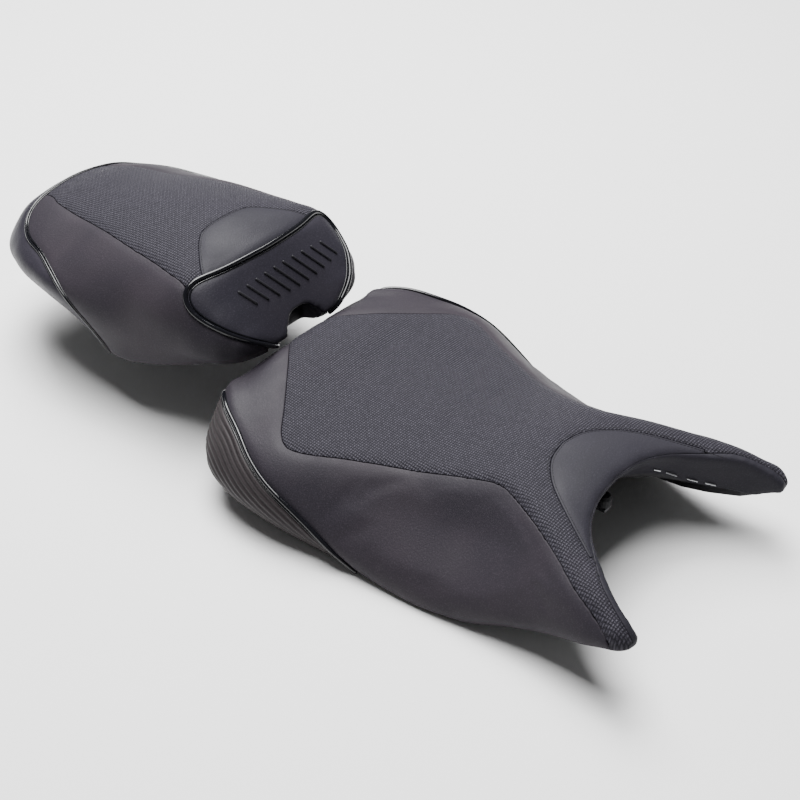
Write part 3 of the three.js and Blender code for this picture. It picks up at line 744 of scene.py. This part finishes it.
def over_hem(seat, y, z):
    """Height over the hem seam."""
    hem = [(k[0], k[2]) for k in seat["hem"]]
    return z - along(hem, np.clip(y, hem[0][0], hem[-1][0]))[:, 0] - HEM_RISE


nose_half = spline(NOSE, 6)
plans = {name: mirrored(spline(half, 6)) for name, half in (
    ("rider_weave", RIDER_WEAVE), ("nose", NOSE), ("pillion_weave", PILLION_WEAVE),
    ("dome", DOME))}
rider_pipe = piping_seam(RIDER_PIPE, 80)
pillion_pipe = piping_seam(PILLION_PIPE, 90)
face_front = mirrored(np.vstack([relax(resample(spline(FACE, 8), SPACING), 6), [FACE_FOOT]]))


def rider_fields(p):
    y, z, x = p[:, 1], p[:, 2], np.abs(p[:, 0])
    wall = notch_field(p)
    return {
        "weave": polygon_distance(p[:, :2], plans["rider_weave"]),
        "nose": polygon_distance(p[:, :2], plans["nose"]),
        "pipe": np.where(y > rider_pipe[0][0], np.interp(y, *rider_pipe) - z, -OFF),
        "back": np.minimum(np.minimum(BACK_HALF - x, BACK_Z - z), y - BACK_Y),
        "hem": over_hem(RIDER, y, z),
        "edge": np.where(wall < WALL_DEPTH, z - np.interp(y, *zip(*NOTCH_EDGE)), OFF),
        "wall": np.interp(x, *zip(*WALL_BAND)) - wall,
    }


def pillion_fields(p):
    y, z = p[:, 1], p[:, 2]
    rear = np.interp(y, *pillion_pipe, left=-PAST, right=PAST)
    return {
        "weave": polygon_distance(p[:, :2], plans["pillion_weave"]),
        "dome": polygon_distance(p[:, :2], plans["dome"]),
        "face": np.where(y < FACE_REAR, polygon_distance(p[:, [0, 2]], face_front), -OFF),
        "rear": np.where(y > PIPE_FRONT, np.clip(rear - z, -PIPE_BAND, PIPE_BAND), -PIPE_BAND),
        "hem": over_hem(PILLION, y, z),
    }


def covered(f):
    """Where the rider seat's cover is, above its hem and the edge of the notch wall."""
    return (f["hem"] > 0) & (f["edge"] > 0)


def halves(name, inside, seat):
    """The left panel, at x > 0, and the right one."""
    left = seat.points[:, 0] > 0
    return {name + "_left": inside & left, name + "_right": inside & ~left}


rows = np.r_[RIDER_FRONT, -116, np.arange(-113, 346, 3.0), 346.5, RIDER_REAR]
points, tris, edges = cut_body("rider", body_loops(RIDER, rows), notch_loops())
lip_near = np.exp(-(distances(points, lip_line()) / LIP_REACH) ** 2)
tip_near = np.clip((TIP_Y - points[:, 1]) / TIP_FADE, 0, 1)
points = smooth_points(points, edges, 0.9 * lip_near * (1 - tip_near), 26)
points = smooth_points(points, edges, 0.25 + 0.6 * tip_near, 7)
rider = Seat("rider_swell", points, tris, rider_fields, [
    ("weave", lambda f, p: covered(f) & (f["pipe"] < 0) & (f["back"] < 0) & (f["wall"] < 0)),
    ("nose", lambda f, p: covered(f) & (f["weave"] > 0) & (f["wall"] < -THIN)),
    ("wall", lambda f, p: covered(f)),
    ("pipe", lambda f, p: covered(f) & (f["back"] < 0)),
    ("back", lambda f, p: covered(f)),
    ("hem", lambda f, p: f["edge"] > 0),
    ("edge", lambda f, p: f["hem"] > 0),
])
field = rider_fields(rider.points)
cover = covered(field)
in_back = field["back"] > 0
in_border = (field["pipe"] > 0) & ~in_back & cover
in_wall = (field["wall"] > 0) & cover
upper = cover & ~in_back & ~in_border & ~in_wall
textured = upper & (field["weave"] > 0)
nosed = (field["nose"] > 0) & (field["nose"] - field["wall"] > THIN)
rider_panels = {
    "rider_cover_centre": textured & ~nosed,
    "rider_cover_nose": textured & nosed,
    "rider_cover_wall": in_wall,
    **halves("rider_cover_side", upper & (field["weave"] < 0), rider),
    **halves("rider_cover_border", in_border, rider),
    "rider_cover_back": in_back & cover,
}

rows = np.r_[PILLION_FRONT, 344.5, 346, 348, 350.5, np.arange(353, 705, 3.0), 706, 709, 711,
             PILLION_REAR]
points, tris, edges = cut_body("pillion", body_loops(PILLION, rows), arch_loops())
points = smooth_points(points, edges, np.full(len(points), 0.5), 8)
pillion = Seat("pillion_swell", points, tris, pillion_fields, [
    ("face", lambda f, p: f["hem"] > 0),
    ("rear", lambda f, p: f["hem"] > 0),
    ("weave", lambda f, p: (f["face"] < 0) & (f["rear"] < 0) & (p[:, 2] > WEAVE_FLOOR)),
    ("dome", lambda f, p: (f["face"] < 0) & (p[:, 2] > DOME_FLOOR)),
    ("hem", lambda f, p: np.ones(len(p), bool)),
])
field = pillion_fields(pillion.points)
cover = field["hem"] > 0
in_face = (field["face"] > 0) & cover
in_border = (field["rear"] > 0) & cover & ~in_face
upper = cover & ~in_face & ~in_border
textured = upper & (field["weave"] > 0)
pillion_panels = {
    "pillion_cover_centre": textured & (field["dome"] < 0),
    "pillion_cover_dome": textured & (field["dome"] > 0),
    **halves("pillion_cover_side", upper & (field["weave"] < 0), pillion),
    "pillion_cover_face": in_face,
    "pillion_cover_border": in_border,
}


# ---- materials

class Look:
    """Small helper around one Principled material's nodes."""

    def __init__(self, name, specular=0.5, metallic=0.0):
        self.material = bpy.data.materials.new(name)
        self.material.use_nodes = True
        self.tree = self.material.node_tree
        self.shader = self.tree.nodes["Principled BSDF"]
        self.set(self.shader, "Metallic", metallic)
        self.set(self.shader, "Specular IOR Level", specular)
        self.where = self.add("ShaderNodeTexCoord").outputs["Object"]

    def set(self, node, socket, value):
        target = node.inputs[socket]
        if isinstance(value, bpy.types.NodeSocket):
            self.tree.links.new(value, target)
        else:
            target.default_value = value

    def add(self, kind, settings=None, **inputs):
        node = self.tree.nodes.new(kind)
        for key, value in (settings or {}).items():
            setattr(node, key, value)
        for key, value in inputs.items():
            self.set(node, key.replace("_", " "), value)
        return node

    def math(self, operation, *values):
        node = self.tree.nodes.new("ShaderNodeMath")
        node.operation = operation
        for i, value in enumerate(values):
            self.set(node, i, value)
        return node.outputs[0]

    def noise(self, scale, detail=3.0, rough=0.5, vector=None):
        node = self.add("ShaderNodeTexNoise", Scale=scale, Detail=detail, Roughness=rough)
        self.set(node, "Vector", vector or self.where)
        return node.outputs[0]

    def span(self, value, low, high, to_low=0.0, to_high=1.0):
        node = self.add("ShaderNodeMapRange")
        for k, v in ((0, value), (1, low), (2, high), (3, to_low), (4, to_high)):
            self.set(node, k, v)
        return node.outputs[0]

    def mix(self, share, a, b):
        """Colour between a, which may be a socket, and b."""
        node = self.add("ShaderNodeMix", {"data_type": "RGBA"})
        self.set(node, 0, share)
        self.set(node, 6, a if isinstance(a, bpy.types.NodeSocket) else (*a, 1.0))
        self.set(node, 7, (*b, 1.0))
        return node.outputs[2]

    def bump(self, height, strength, distance, before=None):
        node = self.add("ShaderNodeBump", Strength=strength, Distance=distance, Height=height)
        if before is not None:
            self.set(node, "Normal", before)
        return node.outputs[0]

    def finish(self, color, roughness, normal):
        self.set(self.shader, "Base Color", color)
        self.set(self.shader, "Roughness", roughness)
        self.set(self.shader, "Normal", normal)
        return self.material


def lit(color, times):
    return tuple(c * times for c in color)


# In the looks below, scales are per metre, bump distances in metres and colours linear.

def vinyl(name, dark, light, rough):
    """Smooth vinyl: fine pebble grain, pores and slow colour drift."""
    k = Look(name, 0.12)
    tone = k.mix(k.span(k.noise(9.0, 2.0), 0.35, 0.65), dark, light)
    speck = k.noise(900.0, 2.0, 0.6)
    tone = k.mix(k.span(speck, 0.52, 0.74, 0.0, 0.5), tone, lit(light, 1.9))
    pebble = k.add("ShaderNodeTexVoronoi", {"feature": "SMOOTH_F1"}, Scale=620.0, Vector=k.where)
    pores = k.noise(1700.0, 2.0, 0.7)
    height = k.math("MULTIPLY_ADD", pores, 0.35, pebble.outputs["Distance"])
    normal = k.bump(height, 0.32, 0.00035)
    shine = k.span(k.noise(26.0, 3.0), 0.3, 0.7, rough - 0.05, rough + 0.06)
    return k.finish(tone, shine, normal)


def woven(name, dark, light, rough, pitch):
    """Embossed plain weave: threads along X pass over and under threads along Y."""
    k = Look(name, 0.12)
    split = k.add("ShaderNodeSeparateXYZ", Vector=k.where)
    shift = k.math("MULTIPLY_ADD", k.noise(60.0, 2.0), 0.35, -0.17)
    u, v = (k.math("ADD", k.math("MULTIPLY", split.outputs[i], 1 / pitch), shift)
            for i in (0, 1))
    iu, iv = k.math("FLOOR", u), k.math("FLOOR", v)
    parity = k.math("MODULO", k.math("ABSOLUTE", k.math("ADD", iu, iv)), 2.0)
    su, sv = (k.math("SINE", k.math("MULTIPLY", k.math("FRACT", way), math.pi))
              for way in (u, v))
    over_x, over_y = (
        k.math("MULTIPLY", k.math("POWER", a, 1.6), k.math("MULTIPLY_ADD", b, 0.6, 0.4))
        for a, b in ((sv, su), (su, sv)))
    other = k.math("SUBTRACT", 1.0, parity)
    height = k.math("ADD", k.math("MULTIPLY", parity, over_x), k.math("MULTIPLY", other, over_y))
    cell = k.add("ShaderNodeCombineXYZ", X=iu, Y=iv)
    chance = k.add("ShaderNodeTexWhiteNoise", Vector=cell.outputs[0]).outputs["Value"]
    share = k.math("MULTIPLY", k.span(height, 0.25, 0.95), k.span(chance, 0.0, 1.0, 0.45, 1.0))
    share = k.math("MULTIPLY", share, k.span(parity, 0.0, 1.0, 0.72, 1.0))
    fibre = k.noise(1500.0, 2.0, 0.7)
    tone = k.mix(k.span(fibre, 0.5, 0.8, 0.0, 0.4), k.mix(share, dark, light), lit(light, 1.6))
    normal = k.bump(height, 0.75, 0.0007)
    normal = k.bump(fibre, 0.25, 0.00025, normal)
    shine = k.span(height, 0.0, 1.0, rough + 0.12, rough - 0.06)
    return k.finish(tone, shine, normal)


def ribbed(name, dark, light, rough):
    """Vinyl with fine ribs; the mesh carries each point's distance from the piping."""
    k = Look(name, 0.22)
    below = k.add("ShaderNodeAttribute", {"attribute_name": "below"}).outputs["Fac"]
    wave = k.math("SINE", k.math("MULTIPLY", below, 2 * math.pi / RIB_PITCH))
    rib = k.span(wave, -1.0, 1.0)
    grain = k.noise(1300.0, 2.0, 0.6)
    tone = k.mix(k.span(grain, 0.5, 0.75, 0.0, 0.4), k.mix(rib, dark, light), lit(light, 1.5))
    normal = k.bump(rib, 0.35, 0.0006)
    normal = k.bump(grain, 0.25, 0.00025, normal)
    return k.finish(tone, k.span(grain, 0.3, 0.7, rough - 0.06, rough + 0.06), normal)


def gloss(name, color):
    """Polished plastic piping with faint handling marks."""
    k = Look(name, 0.34)
    marks = k.noise(240.0, 4.0, 0.6)
    tone = k.mix(k.span(marks, 0.55, 0.8, 0.0, 0.5), color, tuple(c * 2 + 0.002 for c in color))
    normal = k.bump(k.noise(70.0, 2.0), 0.1, 0.0003)
    return k.finish(tone, k.span(marks, 0.3, 0.7, 0.07, 0.18), normal)


def moulded(name, color, rough, scale=1100.0, depth=0.0003):
    """Spark-textured moulded plastic or rubber."""
    k = Look(name, 0.25)
    grain = k.noise(scale, 3.0, 0.6)
    tone = k.mix(k.span(k.noise(14.0, 3.0), 0.35, 0.65), color, lit(color, 1.35))
    tone = k.mix(k.span(grain, 0.55, 0.8, 0.0, 0.5), tone, lit(color, 2.0))
    shine = k.span(grain, 0.3, 0.7, rough - 0.08, rough + 0.08)
    return k.finish(tone, shine, k.bump(grain, 0.5, depth))


def metal(name, color, rough, metallic=1.0):
    """Plated or painted steel with scratches and a little dulling."""
    k = Look(name, metallic=metallic)
    drawn = k.add("ShaderNodeMapping", Scale=(1.0, 14.0, 1.0), Vector=k.where).outputs[0]
    scratch = k.noise(260.0, 4.0, 0.7, drawn)
    tone = k.mix(k.span(k.noise(60.0, 3.0), 0.4, 0.7), color, lit(color, 0.7))
    shine = k.span(scratch, 0.3, 0.75, rough - 0.08, rough + 0.16)
    return k.finish(tone, shine, k.bump(scratch, 0.12, 0.0002))


LOOKS = {name: make(name, *settings) for name, make, *settings in (
    ("weave_vinyl", woven, (0.008, 0.0072, 0.0105), (0.052, 0.049, 0.062), 0.62, 0.0025),
    ("smooth_vinyl", vinyl, (0.0165, 0.0145, 0.0190), (0.0235, 0.0195, 0.0245), 0.56),
    ("nose_vinyl", vinyl, (0.0125, 0.0118, 0.0160), (0.017, 0.0158, 0.021), 0.56),
    ("face_vinyl", vinyl, (0.014, 0.013, 0.018), (0.020, 0.018, 0.024), 0.46),
    ("ribbed_vinyl", ribbed, (0.0085, 0.0064, 0.0072), (0.019, 0.0145, 0.016), 0.58),
    ("gloss_cord", gloss, (0.0035, 0.0035, 0.005)),
    ("foam", moulded, (0.035, 0.034, 0.037), 0.95, 500.0, 0.0008),
    ("pan_plastic", moulded, (0.012, 0.012, 0.014), 0.55),
    ("black_rubber", moulded, (0.004, 0.004, 0.005), 0.72, 700.0),
    ("bright_steel", metal, (0.62, 0.63, 0.65), 0.32),
    ("black_plate", metal, (0.022, 0.023, 0.026), 0.42, 0.3),
    ("thread", moulded, (0.006, 0.0055, 0.008), 0.6, 2400.0, 0.0002),
)}


def paint(piece, look):
    piece.data.materials.clear()
    piece.data.materials.append(LOOKS[look])


def dress(piece, body, slot, look=None):
    """Gives a new piece its look, which is the one named after its slot if none is named, and its
    body.
    """
    paint(piece, look or slot)
    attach(piece, body)


# ---- cover panels

# Slot of each kind of panel, and its look where that is not the slot's own.
KINDS = {"centre": ("weave_vinyl",), "side": ("smooth_vinyl",), "back": ("smooth_vinyl",),
         "nose": ("smooth_vinyl", "nose_vinyl"), "wall": ("smooth_vinyl", "nose_vinyl"),
         "dome": ("smooth_vinyl", "nose_vinyl"), "face": ("face_vinyl",),
         "border": ("ribbed_vinyl",)}
covers = {}
for seat, body, panels in ((rider, "rider_seat", rider_panels),
                           (pillion, "pillion_seat", pillion_panels)):
    for node, inside in panels.items():
        covers[node] = seat.panel(node + "_skin", inside)
        dress(covers[node], body, *KINDS[node.split("_")[2]])
        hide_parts(node)
paint(covers["pillion_cover_border"], "face_vinyl")  # smooth, unlike the rider seat's borders


def side_path(seat, y0, y1, count, seam):
    """A piping seam, given by its y and z, on the side of a seat from one y to another."""
    ys = np.linspace(y0, y1, count)
    return [(side_x(seat, y, z), y, z) for y, z in zip(ys, np.interp(ys, *seam))]


# ribs on the rider seat's borders, which follow the piping
pipe_line = resample(side_path(RIDER, 147, 345, 80, rider_pipe), 1.0)
for side in ("left", "right"):
    piece = covers[f"rider_cover_border_{side}"]
    fine = piece.modifiers.new("fine", "SUBSURF")
    fine.subdivision_type = "SIMPLE"
    fine.levels = fine.render_levels = 1
    mesh = apply_modifiers(piece)
    q = millimetres(mesh)
    inside = np.clip((distances(q, rider.seams) - RIB_MARGIN) / RIB_FADE, 0, 1)
    below = distances(np.where([True, False, False], np.abs(q), q), pipe_line)
    rise = RIB_HEIGHT * inside * np.sin(2 * math.pi * below / RIB_PITCH)
    out = read(mesh.vertices, "normal", 3) * rise[:, None] / 1000
    mesh.vertices.foreach_set("co", (read(mesh.vertices, "co", 3) + out).ravel())
    layer = mesh.attributes.new("below", "FLOAT", "POINT")
    layer.data.foreach_set("value", below)
    mesh.shade_smooth()
    mesh.update()

# ---- piping

def beads(name, path, seat, radius, side):
    """Main bead of a piping and the slimmer one beside it, along a path on the body."""
    path = relax(resample(path, SPACING), 24)
    main_path = relax(seat.on_surface(path, radius * 0.4), 16)
    tangent = np.gradient(main_path, axis=0)
    across = []
    for q, t in zip(main_path, tangent):
        _, normal, _, _ = seat.tree.find_nearest(Vector(q))
        turned = np.cross(t, np.array(normal))
        across.append(turned / np.linalg.norm(turned))
    across = relax(np.array(across), 40)
    beside = main_path + side * across * (radius + FLANGE_GAP)
    beside = relax(seat.on_surface(beside, FLANGE_RISE), 24)
    bead = tube(name + "_bead", main_path, radius, 16)
    flange = tube(name + "_bead_flange", beside, FLANGE, 12)
    for piece in (bead, flange):
        dress(piece, name.split("_")[0] + "_seat", "gloss_cord")
    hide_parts(name)


run = np.array(side_path(RIDER, 148, 344, 60, rider_pipe) + RIDER_PIPE_TAIL)
beads("rider_piping_left", run, rider, RIDER_CORD, 1)
beads("rider_piping_right", flip(run), rider, RIDER_CORD, -1)

hits = (pillion.tree.ray_cast(Vector((x, RAY_Y, z)), Vector((0, 1, 0)))[0]
        for x, z in resample(spline(FACE, 8), 1.5))
front = relax(resample([tuple(hit) for hit in hits if hit is not None], SPACING), 10)
beads("pillion_piping_face", both_sides(front), pillion, FACE_CORD, 1)

# the rear piping: where its seam crosses the top, found by halving, and then down the side
top = []
for x in np.linspace(0, CROSSING_HALF, 14):
    low, high = CROSSING_Y
    for _ in range(25):
        middle = (low + high) / 2
        if np.interp(middle, *pillion_pipe) > top_z(PILLION, x, middle):
            high = middle
        else:
            low = middle
    top.append((x, low, top_z(PILLION, x, low)))
rear = relax(resample(top + side_path(PILLION, 644, 500, 40, pillion_pipe), SPACING), 10)
beads("pillion_piping_rear", both_sides(rear), pillion, REAR_CORD, 1)

# ---- stitching

def stitches(name, path, seat, body):
    """One mesh of short raised threads in a row along a path near a seam."""
    path = relax(resample(path, 0.5), 8)
    length = lengths(path)
    points, faces = [], []
    for start in np.arange(STITCH_PITCH, length[-1] - STITCH_PITCH, STITCH_PITCH):
        bit = at_lengths(path, length, np.linspace(start, start + STITCH_LENGTH, 5))
        thread = tube("thread", seat.on_surface(bit, THREAD_RISE), STITCH_RADIUS, 6)
        base = sum(len(p) for p in points)
        points.append(millimetres(thread.data))
        faces += [tuple(v + base for v in f.vertices) for f in thread.data.polygons]
        remove(thread)
    dress(object_from(name, np.vstack(points), faces), body, "smooth_vinyl", "thread")


def beside_plan(seam, aside):
    """Plan curve moved sideways, to the right of its own direction."""
    seam = resample(seam, SPACING)
    way = np.gradient(seam, axis=0)
    way /= np.linalg.norm(way, axis=1, keepdims=True)
    return seam + aside * np.stack([way[:, 1], -way[:, 0]], 1)


for name, aside in (("inner", STITCH_ASIDE), ("outer", -STITCH_ASIDE)):
    run = rider.top_run(beside_plan(nose_half, aside), NOSE_SPAN)
    stitches(f"nose_stitches_{name}", both_sides(run), rider, "rider_seat")
run = pillion.top_run(beside_plan(spline(DOME, 6), STITCH_ASIDE), DOME_SPAN)
stitches("dome_stitches", both_sides(run), pillion, "pillion_seat")

band = max(width for _, width in WALL_BAND)
run = rider.top_run(beside_plan(notch[:, :2], -band - STITCH_ASIDE), LIP_SPAN)
for side, path in (("left", run), ("right", flip(run))):
    stitches(f"lip_stitches_{side}", path, rider, "rider_seat")

# plain slanted bars stitched across the pillion's face
for i in range(BARS):
    reach = BAR_HALF + BAR_BELLY * math.sin(math.pi * (i + 0.5) / BARS)
    bar = []
    for t in np.linspace(-1, 1, 15):
        x = BAR_X + BAR_PITCH * i - t * reach * BAR_SLANT
        start = Vector((x, RAY_Y, BAR_Z + t * reach))
        bar.append(pillion.tree.ray_cast(start, Vector((0, 1, 0)))[0])
    bar = relax(pillion.on_surface(bar, BAR_RISE), 6)
    dress(tube(f"face_bar_{i}", bar, BAR_RADIUS, 10), "pillion_seat", "smooth_vinyl", "thread")

# ---- foam and bare CAD pieces

for seat in ("rider", "pillion"):
    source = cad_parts[f"{seat}_foam"]
    cushion = linked(f"{seat}_cushion", source.data.copy())
    voxels(cushion, CUSHION_VOXEL).use_smooth_shade = True
    apply_modifiers(cushion)
    dress(cushion, f"{seat}_seat", "foam")
    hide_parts(f"{seat}_foam")

for node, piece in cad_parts.items():
    if piece.hide_render:
        continue
    if "screw" in node or "staple" in node or "hoop" in node:
        paint(piece, "bright_steel")
    elif "pan" in node:
        paint(piece, "pan_plastic")
    elif "foot" in node or "knob" in node:
        paint(piece, "black_rubber")
    else:
        paint(piece, "black_plate")

# ---- camera, floor and light

camera = linked("camera", bpy.data.cameras.new("camera"))
camera.data.lens = 67.5
camera.data.sensor_width = 36
camera.data.clip_start = 0.01
camera.data.clip_end = 50
# the camera's right, up and backward directions, and its place in metres
axes = (0.6388, -0.7694, 0.0), (0.4652, 0.3862, 0.7965), (-0.6128, -0.5088, 0.6046)
place = (-0.8744, -0.8029, 0.9066)
camera.matrix_world = Matrix.Translation(place) @ Matrix(axes).transposed().to_4x4()
bpy.context.scene.camera = camera

FLOOR_HALF, FLOOR_DROP, FLOOR_WHITE = 20, 0.001, 0.78  # metres, metres and albedo
mesh = bpy.data.meshes.new("floor")
corners = ((-1, -1), (1, -1), (1, 1), (-1, 1))
mesh.from_pydata([(FLOOR_HALF * x, FLOOR_HALF * y, 0) for x, y in corners], [], [(0, 1, 2, 3)])
floor = linked("floor", mesh)
floor.location = (0, 0, cad_box[0].z - FLOOR_DROP)
pale = bpy.data.materials.new("floor")
pale.use_nodes = True
shader = pale.node_tree.nodes["Principled BSDF"]
shader.inputs["Base Color"].default_value = (FLOOR_WHITE, FLOOR_WHITE, FLOOR_WHITE, 1)
shader.inputs["Roughness"].default_value = 0.9
mesh.materials.append(pale)

world = bpy.data.worlds.new("world")
bpy.context.scene.world = world
world.use_nodes = True
sky = world.node_tree.nodes["Background"]
sky.inputs["Color"].default_value = (1, 1, 1, 1)
sky.inputs["Strength"].default_value = 0.15

# square area lamps, aimed at the frame's origin
for name, place, watts in (("key", (0.8, 1.1, 2.3), 170), ("top", (0.0, 0.2, 2.6), 150)):
    lamp = linked(name, bpy.data.lights.new(name, "AREA"))
    lamp.data.size = 1.6
    lamp.data.energy = watts
    lamp.location = place
    lamp.rotation_mode = "QUATERNION"
    lamp.rotation_quaternion = (Vector() - Vector(place)).to_track_quat("-Z", "Y")
